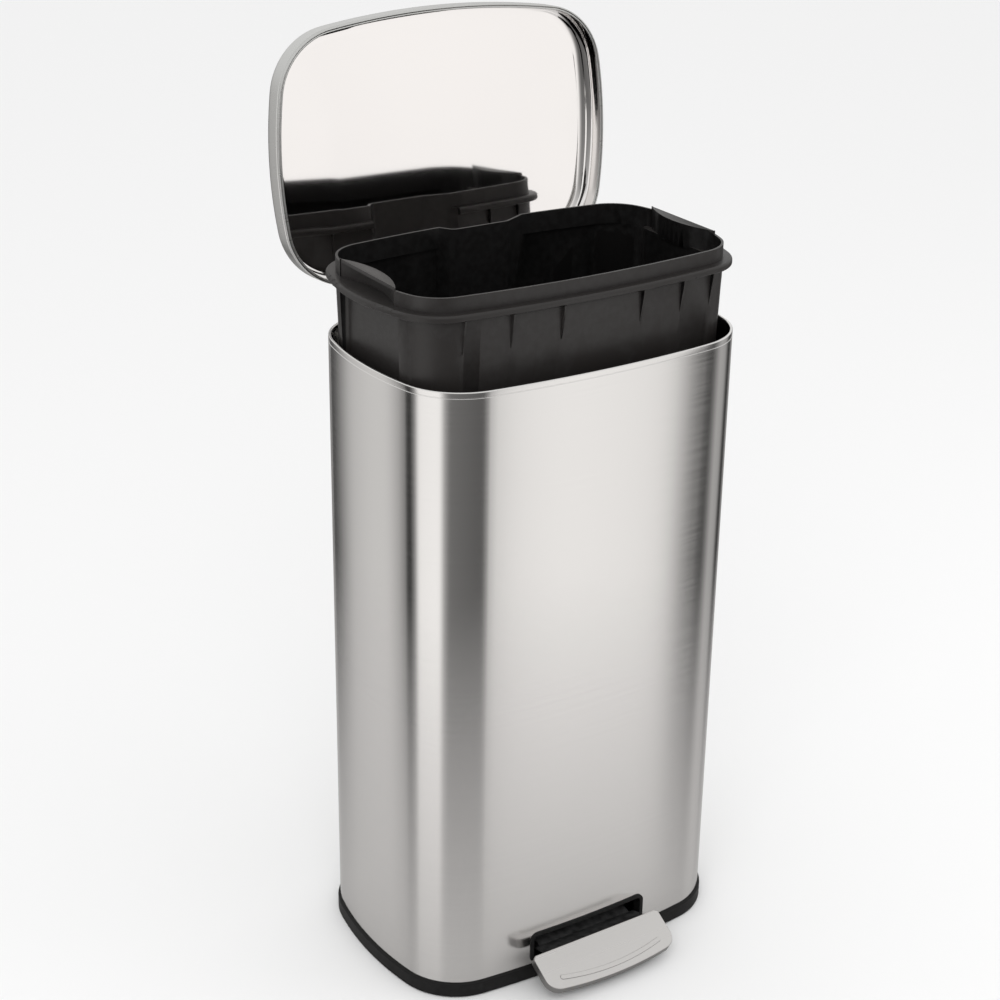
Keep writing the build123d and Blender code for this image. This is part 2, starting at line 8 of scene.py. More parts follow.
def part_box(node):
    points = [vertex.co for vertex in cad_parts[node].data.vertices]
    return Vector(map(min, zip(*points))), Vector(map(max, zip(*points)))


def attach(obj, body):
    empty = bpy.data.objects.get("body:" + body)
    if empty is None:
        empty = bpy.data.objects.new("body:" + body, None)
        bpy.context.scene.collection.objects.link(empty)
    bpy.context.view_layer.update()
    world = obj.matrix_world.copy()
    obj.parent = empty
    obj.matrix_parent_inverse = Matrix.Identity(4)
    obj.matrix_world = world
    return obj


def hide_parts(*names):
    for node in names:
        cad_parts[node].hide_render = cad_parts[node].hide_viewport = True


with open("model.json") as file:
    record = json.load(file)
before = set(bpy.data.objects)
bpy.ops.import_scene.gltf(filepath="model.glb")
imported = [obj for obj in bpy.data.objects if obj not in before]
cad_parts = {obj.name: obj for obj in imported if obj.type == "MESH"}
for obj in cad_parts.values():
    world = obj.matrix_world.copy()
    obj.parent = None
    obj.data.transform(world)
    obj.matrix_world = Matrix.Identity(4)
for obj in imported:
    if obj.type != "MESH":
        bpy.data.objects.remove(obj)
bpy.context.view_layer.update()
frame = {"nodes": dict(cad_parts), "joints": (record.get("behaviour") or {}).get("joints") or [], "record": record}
nodes = frame["nodes"]
mm = 0.001

# Outlines of the swept pieces: half width, half depth, corner, front bow and side bow, in millimetres
outlines = {
    "shell": (173.0, 118.0, 61.0, 6.0, 5.0),
    "lid": (172.5, 122.5, 62.0, 8.0, 4.0),
}


# Node helpers

def addNode(tree, kind, **settings):
    node = tree.nodes.new(kind)
    for name, value in settings.items():
        setattr(node, name, value)
    return node


def newGroup(name, inputs, outputs):
    # Inputs are (name, socket, default); outputs are (name, socket)
    tree = bpy.data.node_groups.new(name, "ShaderNodeTree")
    for label, kind, value in inputs:
        socket = tree.interface.new_socket(name=label, in_out="INPUT", socket_type=kind)
        socket.default_value = value
    for label, kind in outputs:
        tree.interface.new_socket(name=label, in_out="OUTPUT", socket_type=kind)
    return tree, addNode(tree, "NodeGroupInput"), addNode(tree, "NodeGroupOutput")


def mathNode(tree, operation, first, second=None, third=None, clamp=False):
    node = addNode(tree, "ShaderNodeMath", operation=operation, use_clamp=clamp)
    for index, value in enumerate((first, second, third)):
        if value is None:
            continue
        if isinstance(value, (int, float)):
            node.inputs[index].default_value = value
        else:
            tree.links.new(value, node.inputs[index])
    return node.outputs[0]


def noiseNode(tree, vector, scale=5.0, detail=2.0, roughness=0.5):
    node = addNode(tree, "ShaderNodeTexNoise")
    tree.links.new(vector, node.inputs["Vector"])
    node.inputs["Detail"].default_value = detail
    node.inputs["Roughness"].default_value = roughness
    if isinstance(scale, (int, float)):
        node.inputs["Scale"].default_value = scale
    else:
        tree.links.new(scale, node.inputs["Scale"])
    return node.outputs["Fac"]


def spread(tree, value, low, high, fromLow=0.0, fromHigh=1.0):
    node = addNode(tree, "ShaderNodeMapRange")
    tree.links.new(value, node.inputs["Value"])
    for label, setting in (("From Min", fromLow), ("From Max", fromHigh), ("To Min", low), ("To Max", high)):
        if isinstance(setting, (int, float)):
            node.inputs[label].default_value = setting
        else:
            tree.links.new(setting, node.inputs[label])
    return node.outputs["Result"]


# Effects that several materials share

def makeBrushedGrain():
    # Long thin brush marks: one axis fine, the others drawn out
    tree, source, sink = newGroup(
        "brushedGrain",
        [("Mark Scale", "NodeSocketVector", (3.0, 3.0, 900.0)), ("Contrast", "NodeSocketFloat", 0.1)],
        [("Tone", "NodeSocketFloat"), ("Height", "NodeSocketFloat")],
    )
    coords = addNode(tree, "ShaderNodeTexCoord")
    stretch = addNode(tree, "ShaderNodeVectorMath", operation="MULTIPLY")
    tree.links.new(coords.outputs["Object"], stretch.inputs[0])
    tree.links.new(source.outputs["Mark Scale"], stretch.inputs[1])
    fine = noiseNode(tree, stretch.outputs[0], 1.0, 3.0, 0.65)
    broad = noiseNode(tree, stretch.outputs[0], 0.17, 2.0)
    both = mathNode(tree, "MULTIPLY_ADD", broad, 0.5, mathNode(tree, "MULTIPLY", fine, 0.5))
    centred = mathNode(tree, "SUBTRACT", both, 0.5)
    tone = mathNode(tree, "MULTIPLY_ADD", centred, source.outputs["Contrast"], 1.0)
    tree.links.new(tone, sink.inputs["Tone"])
    tree.links.new(both, sink.inputs["Height"])
    return tree


def makeMouldGrain():
    # Fine pebbled skin of moulded plastic, with a slow change of tone
    tree, source, sink = newGroup(
        "mouldGrain",
        [("Grain Scale", "NodeSocketFloat", 900.0), ("Contrast", "NodeSocketFloat", 0.2)],
        [("Tone", "NodeSocketFloat"), ("Height", "NodeSocketFloat")],
    )
    coords = addNode(tree, "ShaderNodeTexCoord")
    grain = noiseNode(tree, coords.outputs["Object"], source.outputs["Grain Scale"], 2.0, 0.6)
    patches = noiseNode(tree, coords.outputs["Object"], 14.0, 3.0)
    centred = mathNode(tree, "SUBTRACT", patches, 0.5)
    tone = mathNode(tree, "MULTIPLY_ADD", centred, source.outputs["Contrast"], 1.0)
    tree.links.new(tone, sink.inputs["Tone"])
    tree.links.new(grain, sink.inputs["Height"])
    return tree


def makeEdgeWearAndHighlight():
    # Mask that is high on outward edges and broken up by noise: worn edges, and on the bucket also a painted
    # highlight along its bead
    tree, source, sink = newGroup(
        "edgeWearAndHighlight",
        [("Reach", "NodeSocketFloat", 0.06), ("Amount", "NodeSocketFloat", 0.5)],
        [("Mask", "NodeSocketFloat")],
    )
    geometry = addNode(tree, "ShaderNodeNewGeometry")
    coords = addNode(tree, "ShaderNodeTexCoord")
    limit = mathNode(tree, "ADD", source.outputs["Reach"], 0.5)
    edge = spread(tree, geometry.outputs["Pointiness"], 0.0, 1.0, 0.5, limit)
    broken = spread(tree, noiseNode(tree, coords.outputs["Object"], 160.0, 3.0), 0.2, 1.0, 0.35, 0.65)
    both = mathNode(tree, "MULTIPLY", edge, broken)
    mask = mathNode(tree, "MULTIPLY", both, source.outputs["Amount"], clamp=True)
    tree.links.new(mask, sink.inputs["Mask"])
    return tree


def makeDustFilm():
    # Faint dust that settles on upward faces
    tree, source, sink = newGroup(
        "dustFilm",
        [("Amount", "NodeSocketFloat", 0.2)],
        [("Mask", "NodeSocketFloat")],
    )
    geometry = addNode(tree, "ShaderNodeNewGeometry")
    coords = addNode(tree, "ShaderNodeTexCoord")
    split = addNode(tree, "ShaderNodeSeparateXYZ")
    tree.links.new(geometry.outputs["Normal"], split.inputs[0])
    upward = spread(tree, split.outputs["Z"], 0.0, 1.0, 0.2, 0.95)
    cloud = spread(tree, noiseNode(tree, coords.outputs["Object"], 38.0, 5.0, 0.6), 0.35, 1.0, 0.35, 0.7)
    both = mathNode(tree, "MULTIPLY", upward, cloud)
    mask = mathNode(tree, "MULTIPLY", both, source.outputs["Amount"], clamp=True)
    tree.links.new(mask, sink.inputs["Mask"])
    return tree


effects = {
    "brush": makeBrushedGrain(),
    "mould": makeMouldGrain(),
    "wearAndHighlight": makeEdgeWearAndHighlight(),
    "dust": makeDustFilm(),
}


# Materials

def startMaterial(name, **constants):
    material = bpy.data.materials.new(name)
    material.use_nodes = True
    tree = material.node_tree
    shader = tree.nodes["Principled BSDF"]
    for label, value in constants.items():
        shader.inputs[label.replace("_", " ")].default_value = value
    return material, tree, shader


def useEffect(tree, name, **values):
    node = addNode(tree, "ShaderNodeGroup", node_tree=effects[name])
    for label, value in values.items():
        node.inputs[label.replace("_", " ")].default_value = value
    return node


def tinted(tree, colour, tone):
    # The colour multiplied by a tone around 1
    node = addNode(tree, "ShaderNodeVectorMath", operation="SCALE")
    node.inputs[0].default_value = colour
    tree.links.new(tone, node.inputs["Scale"])
    return node.outputs[0]


def mixed(tree, mask, under, over):
    node = addNode(tree, "ShaderNodeMix", data_type="RGBA")
    tree.links.new(mask, node.inputs["Factor"])
    tree.links.new(under, node.inputs["A"])
    node.inputs["B"].default_value = (*over, 1)
    return node.outputs["Result"]


def bumped(tree, shader, height, strength, distance):
    node = addNode(tree, "ShaderNodeBump")
    node.inputs["Strength"].default_value = strength
    node.inputs["Distance"].default_value = distance
    tree.links.new(height, node.inputs["Height"])
    tree.links.new(node.outputs[0], shader.inputs["Normal"])


def brushedMetal(name, colour, roughness, marks, contrast, bump, anisotropic=0.0):
    material, tree, shader = startMaterial(name, Metallic=1.0, Anisotropic=anisotropic)
    grain = useEffect(tree, "brush", Mark_Scale=marks, Contrast=contrast)
    tree.links.new(tinted(tree, colour, grain.outputs["Tone"]), shader.inputs["Base Color"])
    rough = spread(tree, grain.outputs["Height"], roughness * 0.8, roughness * 1.2, 0.3, 0.7)
    tree.links.new(rough, shader.inputs["Roughness"])
    bumped(tree, shader, grain.outputs["Height"], bump, 0.00004)
    return material


def mouldedPlastic(name, colour, roughness, grainScale, bump, wornAndHighlitEdge, wearAndHighlight=0.3, dust=0.1, gloss=0.45):
    material, tree, shader = startMaterial(name, Specular_IOR_Level=gloss)
    grain = useEffect(tree, "mould", Grain_Scale=grainScale, Contrast=0.08)
    edge = useEffect(tree, "wearAndHighlight", Reach=0.07, Amount=wearAndHighlight)
    film = useEffect(tree, "dust", Amount=dust)
    base = tinted(tree, colour, grain.outputs["Tone"])
    base = mixed(tree, edge.outputs["Mask"], base, wornAndHighlitEdge)
    base = mixed(tree, film.outputs["Mask"], base, (0.30, 0.29, 0.28))
    tree.links.new(base, shader.inputs["Base Color"])
    rough = spread(tree, grain.outputs["Height"], roughness * 0.85, roughness * 1.15, 0.3, 0.7)
    tree.links.new(rough, shader.inputs["Roughness"])
    bumped(tree, shader, grain.outputs["Height"], bump, 0.00008)
    return material


def platedSteel():
    material, tree, shader = startMaterial("platedSteel", Metallic=1.0)
    grain = useEffect(tree, "mould", Grain_Scale=300.0, Contrast=0.35)
    edge = useEffect(tree, "wearAndHighlight", Reach=0.08, Amount=0.4)
    base = tinted(tree, (0.62, 0.62, 0.59), grain.outputs["Tone"])
    tree.links.new(mixed(tree, edge.outputs["Mask"], base, (0.8, 0.8, 0.78)), shader.inputs["Base Color"])
    tree.links.new(spread(tree, grain.outputs["Height"], 0.22, 0.4, 0.3, 0.7), shader.inputs["Roughness"])
    bumped(tree, shader, grain.outputs["Height"], 0.3, 0.00005)
    return material


materials = {
    "brushed_shell": brushedMetal(
        "brushedShell", (0.70, 0.69, 0.68), 0.14, (3.0, 3.0, 1400.0), 0.10, 0.25, 0.35
    ),
    "satin_lid": brushedMetal("satinLid", (0.56, 0.56, 0.55), 0.30, (3.0, 700.0, 700.0), 0.12, 0.25),
    "polished_panel": brushedMetal("polishedPanel", (0.79, 0.77, 0.76), 0.045, (2.0, 60.0, 60.0), 0.02, 0.03),
    "satin_pedal": brushedMetal("satinPedal", (0.60, 0.585, 0.575), 0.30, (5.0, 900.0, 900.0), 0.10, 0.25),
    # A darker copy of the pedal's satin for its skirt: painted shade
    "pedal_skirt_painted_shade": brushedMetal("pedalSkirtPaintedShade", (0.30, 0.295, 0.29), 0.38, (5.0, 900.0, 900.0), 0.10, 0.25),
    "black_plastic": mouldedPlastic(
        "blackPlastic", (0.007, 0.0068, 0.0068), 0.5, 1300.0, 0.35, (0.03, 0.03, 0.03), 0.2, 0.01, 0.14
    ),
    # Its lighter edges are partly wear and partly a painted highlight along the collar's bead
    "bucket_plastic": mouldedPlastic(
        "bucketPlastic", (0.019, 0.0168, 0.0160), 0.40, 1500.0, 0.30, (0.06, 0.06, 0.06), 0.12, 0.0, 0.34
    ),
    # A darker copy of the bucket's plastic for its inside: painted shade
    "bucket_inside_painted_shade": mouldedPlastic(
        "bucketInsidePaintedShade", (0.004, 0.0036, 0.0036), 0.5, 1500.0, 0.30, (0.02, 0.02, 0.02), 0.3, 0.01, 0.12
    ),
    "black_steel": mouldedPlastic(
        "blackSteel", (0.010, 0.010, 0.010), 0.38, 700.0, 0.25, (0.10, 0.10, 0.10), 0.4, 0.0, 0.3
    ),
    "plated_steel": platedSteel(),
    "channel_steel": brushedMetal("channelSteel", (0.52, 0.52, 0.51), 0.34, (400.0, 400.0, 4.0), 0.2, 0.4),
    "white_nylon": mouldedPlastic(
        "whiteNylon", (0.72, 0.70, 0.64), 0.5, 800.0, 0.2, (0.85, 0.84, 0.8), 0.3, 0.05
    ),
    "foot_rubber": mouldedPlastic(
        "footRubber", (0.022, 0.022, 0.022), 0.8, 1100.0, 0.5, (0.08, 0.08, 0.08), 0.3
    ),
}


def dressNodes():
    for part in frame["record"]["subparts"]:
        target = nodes[part["node"]]
        target.data.materials.clear()
        target.data.materials.append(materials[part["material_slot"]])


dressNodes()
print("materials:", len(materials))


# Swept pieces: a profile of (inset, height) pairs carried round an outline

sweep = {"steps": (8, 18, 16), "sharpAngle": 32}


def outlineAngles(name):
    # Directions of the outward normal round the whole outline
    halfWidth, halfDepth, corner, frontBow, sideBow = outlines[name]
    centreX = halfWidth - sideBow - corner
    centreY = halfDepth - frontBow - corner
    frontAngle = math.asin(2 * frontBow * centreX / (centreX ** 2 + frontBow ** 2))
    sideAngle = math.asin(2 * sideBow * centreY / (centreY ** 2 + sideBow ** 2))
    stops = [0.0, sideAngle, math.pi / 2 - frontAngle, math.pi / 2]
    quarter = []
    # The side bow, the corner and the front bow
    for start, end, steps in zip(stops, stops[1:], sweep["steps"]):
        quarter += [start + (end - start) * step / steps for step in range(steps)]
    angles = list(quarter)
    angles += [math.pi - angle for angle in reversed(quarter[1:] + [math.pi / 2])]
    angles += [math.pi + angle for angle in quarter]
    angles += [2 * math.pi - angle for angle in reversed(quarter[1:] + [math.pi / 2])]
    return angles


def outlinePoint(name, angle, inset):
    # The point whose outward normal is at this angle
    halfWidth, halfDepth, corner, frontBow, sideBow = outlines[name]
    centreX = halfWidth - sideBow - corner
    centreY = halfDepth - frontBow - corner
    frontArc = (centreX ** 2 + frontBow ** 2) / (2 * frontBow) + corner
    sideArc = (centreY ** 2 + sideBow ** 2) / (2 * sideBow) + corner
    frontAngle = math.asin(2 * frontBow * centreX / (centreX ** 2 + frontBow ** 2))
    sideAngle = math.asin(2 * sideBow * centreY / (centreY ** 2 + sideBow ** 2))
    alongX = math.cos(angle)
    alongY = math.sin(angle)
    folded = math.atan2(abs(alongY), abs(alongX))
    signX = math.copysign(1, alongX)
    signY = math.copysign(1, alongY)
    if folded <= sideAngle:
        return signX * (halfWidth - sideArc) + (sideArc - inset) * alongX, (sideArc - inset) * alongY
    if folded >= math.pi / 2 - frontAngle:
        return (frontArc - inset) * alongX, signY * (halfDepth - frontArc) + (frontArc - inset) * alongY
    return signX * centreX + (corner - inset) * alongX, signY * centreY + (corner - inset) * alongY


def sweepMesh(name, outline, profile, closed, middleRings=1):
    # A closed profile makes a ring; an open one starts and ends in the middle
    work = bmesh.new()
    rings = []
    angles = outlineAngles(outline)
    for inset, height in profile:
        ring = []
        for angle in angles:
            x, y = outlinePoint(outline, angle, inset)
            ring.append(work.verts.new((x * mm, y * mm, height * mm)))
        rings.append(ring)
    pairs = list(zip(rings, rings[1:]))
    if closed:
        pairs.append((rings[-1], rings[0]))
    count = len(angles)
    for lower, upper in pairs:
        for index in range(count):
            following = (index + 1) % count
            work.faces.new((lower[index], lower[following], upper[following], upper[index]))
    if not closed:
        for ring, (inset, height) in ((rings[0], profile[0]), (rings[-1], profile[-1])):
            middle = work.verts.new((0, 0, height * mm))
            outer = ring
            for step in range(1, middleRings):
                share = 1 - step / middleRings
                inner = [work.verts.new(middle.co.lerp(vertex.co, share)) for vertex in outer]
                for index in range(count):
                    following = (index + 1) % count
                    work.faces.new((ring[index], ring[following], inner[following], inner[index]))
                ring = inner
            for index in range(count):
                work.faces.new((ring[index], ring[(index + 1) % count], middle))
    bmesh.ops.recalc_face_normals(work, faces=work.faces)
    mesh = bpy.data.meshes.new(name)
    work.to_mesh(mesh)
    work.free()
    mesh.polygons.foreach_set("use_smooth", [True] * len(mesh.polygons))
    piece = bpy.data.objects.new(name, mesh)
    bpy.context.scene.collection.objects.link(piece)
    return piece


def arcPoints(inset, height, radius, start, end, steps):
    # Part of a circle in the profile; 0 degrees is outwards and 90 is up
    points = []
    for step in range(steps + 1):
        angle = math.radians(start + (end - start) * step / steps)
        points.append((inset - radius * math.cos(angle), height + radius * math.sin(angle)))
    return points


def swingOpen(piece):
    hinge = next(joint for joint in frame["joints"] if joint["name"] == "lid_hinge")
    place = Vector(hinge["pos_m"])
    turn = Matrix.Rotation(math.radians(-lid["openAngle"]), 4, "X")
    piece.data.transform(Matrix.Translation(place) @ turn @ Matrix.Translation(-place))


def finishPiece(piece, body, replaced):
    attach(piece, body)
    if replaced:
        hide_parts(*replaced)


def settle(piece, body, slotName, replaced):
    piece.data.set_sharp_from_angle(angle=math.radians(sweep["sharpAngle"]))
    piece.data.materials.clear()
    piece.data.materials.append(materials[slotName])
    finishPiece(piece, body, replaced)


# Steel shell

shell = {
    "low": 5.2, "top": 600.0, "sheet": 0.8, "wallSteps": 10,
    "rimWidth": 2.6, "rimHeight": 5.0, "rimRoll": 1.1,
    "grooveDepth": 0.35, "grooveHigh": 594.9, "slotHalfWidth": 63.2, "slotLow": 17.0, "slotHigh": 47.5,
    "slotCorner": 6.0, "notchHalfWidth": 30.0, "notchFloor": 582.0, "notchCorner": 1.5,
    "cutFront": (-140, -90), "cutRear": (90, 140),
}


def shellProfile():
    top = shell["top"]
    groove = shell["grooveHigh"]
    rim = shell["rimWidth"]
    roll = shell["rimRoll"]
    steps = shell["wallSteps"]
    points = [(0.0, shell["low"] + (groove - 0.8 - shell["low"]) * step / steps) for step in range(steps + 1)]
    points += [(shell["grooveDepth"], groove - 0.5), (shell["grooveDepth"], groove), (0.0, groove + 0.3)]
    points += arcPoints(roll, top - roll, roll, 0, 90, 6)
    points += arcPoints(rim - roll, top - roll, -roll, 270, 360, 6)[1:]
    points += [(rim, top - rim), (rim, top - shell["rimHeight"])]
    points += [(shell["sheet"], top - shell["rimHeight"] - 0.2), (shell["sheet"], shell["low"])]
    return points


def roundedCutter(name, halfWidth, low, high, corner, near, far):
    # Prism with a rounded rectangle seen from the front
    work = bmesh.new()
    centres = [(1, 1, 0), (-1, 1, 90), (-1, -1, 180), (1, -1, 270)]
    middle = (low + high) / 2
    reach = (high - low) / 2 - corner
    front = []
    back = []
    for signX, signZ, start in centres:
        for step in range(7):
            angle = math.radians(start + 90 * step / 6)
            x = signX * (halfWidth - corner) + corner * math.cos(angle)
            z = middle + signZ * reach + corner * math.sin(angle)
            front.append(work.verts.new((x * mm, near * mm, z * mm)))
            back.append(work.verts.new((x * mm, far * mm, z * mm)))
    count = len(front)
    for index in range(count):
        following = (index + 1) % count
        work.faces.new((front[index], front[following], back[following], back[index]))
    work.faces.new(front)
    work.faces.new(back)
    bmesh.ops.recalc_face_normals(work, faces=work.faces)
    mesh = bpy.data.meshes.new(name)
    work.to_mesh(mesh)
    work.free()
    cutter = bpy.data.objects.new(name, mesh)
    bpy.context.scene.collection.objects.link(cutter)
    return cutter


def cutAway(piece, cutter):
    modifier = piece.modifiers.new("cut", "BOOLEAN")
    modifier.operation = "DIFFERENCE"
    modifier.solver = "EXACT"
    modifier.object = cutter
    graph = bpy.context.evaluated_depsgraph_get()
    mesh = bpy.data.meshes.new_from_object(piece.evaluated_get(graph))
    piece.modifiers.remove(modifier)
    piece.data = mesh
    bpy.data.objects.remove(cutter)


def buildShell():
    piece = sweepMesh("shellWall", "shell", shellProfile(), True)
    cutAway(piece, roundedCutter(
        "slotCutter", shell["slotHalfWidth"], shell["slotLow"], shell["slotHigh"], shell["slotCorner"],
        *shell["cutFront"]
    ))
    cutAway(piece, roundedCutter(
        "notchCutter", shell["notchHalfWidth"], shell["notchFloor"], shell["top"] + 30, shell["notchCorner"],
        *shell["cutRear"]
    ))
    settle(piece, "housing", "brushed_shell", ["outer_shell"])


buildShell()
print("shell wall swept")


# Lid, drawn closed and swung open about the hinge

lid = {
    "hem": 607.4, "height": 26.0, "skin": 0.9, "edge": 9.0, "hemHeight": 3.4, "roll": 1.0, "innerRoll": 0.85,
    "panelDepth": 20.2, "dishFrom": 15.2, "dishRun": 13.0, "sag": 2.8, "openAngle": 93.6, "flatInset": 60.0,
    "panelRings": 12,
}


def lidSkinProfile():
    hem = lid["hem"]
    top = hem + lid["height"]
    edge = lid["edge"]
    skin = lid["skin"]
    roll = lid["roll"]
    flat = lid["flatInset"]
    points = [(flat, top), (edge + 4, top)]
    points += arcPoints(edge, top - edge, edge, 90, 0, 14)
    points += [(0.0, hem + 10), (0.0, hem + lid["hemHeight"] + 0.9), (0.45, hem + lid["hemHeight"] + 0.3)]
    points += arcPoints(roll, hem + roll, roll, 60, -100, 10)
    points += [(2 * roll, hem + 1.5), (2 * roll, hem + lid["hemHeight"])]
    points += [(skin, hem + lid["hemHeight"] + 0.3), (skin, hem + 10)]
    points += arcPoints(edge, top - edge, edge - skin, 0, 90, 12)
    points += [(edge + 4, top - skin), (flat, top - skin)]
    return points


def lidPanelProfile():
    # A shallow dish: its edge is a quarter of an ellipse
    low = lid["hem"] + lid["hemHeight"] + 0.1
    high = lid["hem"] + lid["panelDepth"]
    start = lid["skin"] + 0.9
    rim = lid["hem"] + lid["dishFrom"]
    dish = [(start, low), (start, (low + rim) / 2)]
    for step in range(21):
        angle = math.radians(90 * step / 20)
        inset = start + lid["dishRun"] * (1 - math.cos(angle))
        dish.append((inset, rim + (high - rim) * math.sin(angle)))
    back = [(inset - 0.6, height + 0.8) for inset, height in dish]
    back[0] = (start - 0.6, low)
    return [(lid["flatInset"], high + 0.8)] + back[::-1] + dish + [(lid["flatInset"], high)]


def dishPanel(piece):
    # The flat sags a little towards the lid's skin, as thin sheet does
    halfWidth, halfDepth = outlines["lid"][:2]
    level = (lid["hem"] + lid["panelDepth"] - 1.0) * mm
    for vertex in piece.data.vertices:
        if vertex.co.z < level:
            continue
        across = min(1.0, abs(vertex.co.x) / (halfWidth * mm))
        along = min(1.0, abs(vertex.co.y) / ((halfDepth - lid["dishRun"]) * mm))
        vertex.co.z += lid["sag"] * mm * (1 - along ** 2) * (1 - across ** 8)


def buildLid():
    skin = sweepMesh("lidSkin", "lid", lidSkinProfile(), False)
    swingOpen(skin)
    settle(skin, "lid", "satin_lid", ["lid_shell"])
    panel = sweepMesh("lidMirror", "lid", lidPanelProfile(), False, middleRings=lid["panelRings"])
    dishPanel(panel)
    swingOpen(panel)
    settle(panel, "lid", "polished_panel", ["lid_inner_panel"])


buildLid()
print("lid swept and swung open")


# Beads and studs made with Geometry Nodes

def newShape(name, sockets):
    tree = bpy.data.node_groups.new(name, "GeometryNodeTree")
    tree.interface.new_socket(name="Geometry", in_out="INPUT", socket_type="NodeSocketGeometry")
    for label, kind, value in sockets:
        socket = tree.interface.new_socket(name=label, in_out="INPUT", socket_type=kind)
        if value is not None:
            socket.default_value = value
    tree.interface.new_socket(name="Geometry", in_out="OUTPUT", socket_type="NodeSocketGeometry")
    return tree, addNode(tree, "NodeGroupInput"), addNode(tree, "NodeGroupOutput")


def finishShape(tree, geometry, sink, material):
    realize = addNode(tree, "GeometryNodeRealizeInstances")
    tree.links.new(geometry, realize.inputs[0])
    paint = addNode(tree, "GeometryNodeSetMaterial")
    paint.inputs["Material"].default_value = material
    tree.links.new(realize.outputs[0], paint.inputs["Geometry"])
    tree.links.new(paint.outputs[0], sink.inputs[0])


def makeBeadTree(material):
    # A round wire along a closed path
    tree, source, sink = newShape("beadOnPath", [
        ("Wire Radius", "NodeSocketFloat", 0.001), ("Sides", "NodeSocketInt", 10),
    ])
    path = addNode(tree, "GeometryNodeMeshToCurve")
    wire = addNode(tree, "GeometryNodeCurvePrimitiveCircle")
    tube = addNode(tree, "GeometryNodeCurveToMesh")
    smooth = addNode(tree, "GeometryNodeSetShadeSmooth")
    tree.links.new(source.outputs["Geometry"], path.inputs[0])
    tree.links.new(source.outputs["Wire Radius"], wire.inputs["Radius"])
    tree.links.new(source.outputs["Sides"], wire.inputs["Resolution"])
    tree.links.new(path.outputs[0], tube.inputs["Curve"])
    tree.links.new(wire.outputs[0], tube.inputs["Profile Curve"])
    tree.links.new(tube.outputs[0], smooth.inputs["Geometry"])
    finishShape(tree, smooth.outputs[0], sink, material)
    return tree


def makeStudTree(material):
    # One turned head on every point
    tree, source, sink = newShape("studsOnPoints", [
        ("Head", "NodeSocketObject", None), ("Turn", "NodeSocketVector", (0.0, 0.0, 0.0)),
        ("Size", "NodeSocketFloat", 1.0),
    ])
    head = addNode(tree, "GeometryNodeObjectInfo")
    place = addNode(tree, "GeometryNodeInstanceOnPoints")
    tree.links.new(source.outputs["Head"], head.inputs["Object"])
    tree.links.new(source.outputs["Geometry"], place.inputs["Points"])
    tree.links.new(head.outputs["Geometry"], place.inputs["Instance"])
    tree.links.new(source.outputs["Turn"], place.inputs["Rotation"])
    tree.links.new(source.outputs["Size"], place.inputs["Scale"])
    finishShape(tree, place.outputs[0], sink, material)
    return tree


def growPiece(name, points, cyclic, tree, **values):
    # Runs a tree on a path or a set of points and keeps the plain mesh
    mesh = bpy.data.meshes.new(name)
    edges = [(index, (index + 1) % len(points)) for index in range(len(points))] if cyclic else []
    mesh.from_pydata([[value * mm for value in point] for point in points], edges, [])
    piece = bpy.data.objects.new(name, mesh)
    bpy.context.scene.collection.objects.link(piece)
    modifier = piece.modifiers.new("grow", "NODES")
    modifier.node_group = tree
    for item in tree.interface.items_tree:
        key = item.name.replace(" ", "_")
        if item.in_out == "INPUT" and key in values:
            modifier[item.identifier] = values[key]
    graph = bpy.context.evaluated_depsgraph_get()
    grown = bpy.data.meshes.new_from_object(piece.evaluated_get(graph))
    piece.modifiers.clear()
    piece.data = grown
    return piece


def turnedHead(name, profile, steps=20):
    # Solid of revolution about Z from (radius, height) pairs, closed on the axis at both ends
    work = bmesh.new()
    rings = []
    for radius, height in profile:
        ring = []
        for step in range(steps):
            angle = 2 * math.pi * step / steps
            x = radius * mm * math.cos(angle)
            y = radius * mm * math.sin(angle)
            ring.append(work.verts.new((x, y, height * mm)))
        rings.append(ring)
    for lower, upper in zip(rings, rings[1:]):
        for index in range(steps):
            following = (index + 1) % steps
            work.faces.new((lower[index], lower[following], upper[following], upper[index]))
    for ring, height in ((rings[0], profile[0][1]), (rings[-1], profile[-1][1])):
        middle = work.verts.new((0, 0, height * mm))
        for index in range(steps):
            work.faces.new((ring[index], ring[(index + 1) % steps], middle))
    bmesh.ops.recalc_face_normals(work, faces=work.faces)
    mesh = bpy.data.meshes.new(name)
    work.to_mesh(mesh)
    work.free()
    mesh.polygons.foreach_set("use_smooth", [True] * len(mesh.polygons))
    mesh.set_sharp_from_angle(angle=math.radians(40))
    return bpy.data.objects.new(name, mesh)


def domedProfile(headRadius, headHeight, shankRadius, shankLength):
    # Low dome over a plain shank; the dome's foot is at height 0
    side = studs["sideShare"]
    profile = [(shankRadius, -shankLength), (shankRadius, 0.0)]
    profile += [(headRadius, 0.0), (headRadius, headHeight * side)]
    for degrees in studs["domeAngles"]:
        angle = math.radians(degrees)
        height = headHeight * (side + (1 - side) * math.sin(angle))
        profile.append((headRadius * math.cos(angle) + studs["flatTop"], height))
    return profile


# A head is its radius and height, then its shank's radius and length
studs = {
    "bracketX": 68.0, "bracketY": (-78.0, -58.0), "bracketZ": 7.2, "bracketHead": (3.6, 1.6, 2.0, 4.0),
    "lidX": (-20.0, 20.0), "lidOuterY": 124.8, "lidInnerY": 120.0, "lidUp": 10.0,
    "lidHead": (3.6, 1.2, 2.0, 2.6),
    "sideShare": 0.35, "domeAngles": (30, 45, 60, 75, 90), "flatTop": 0.02,
}


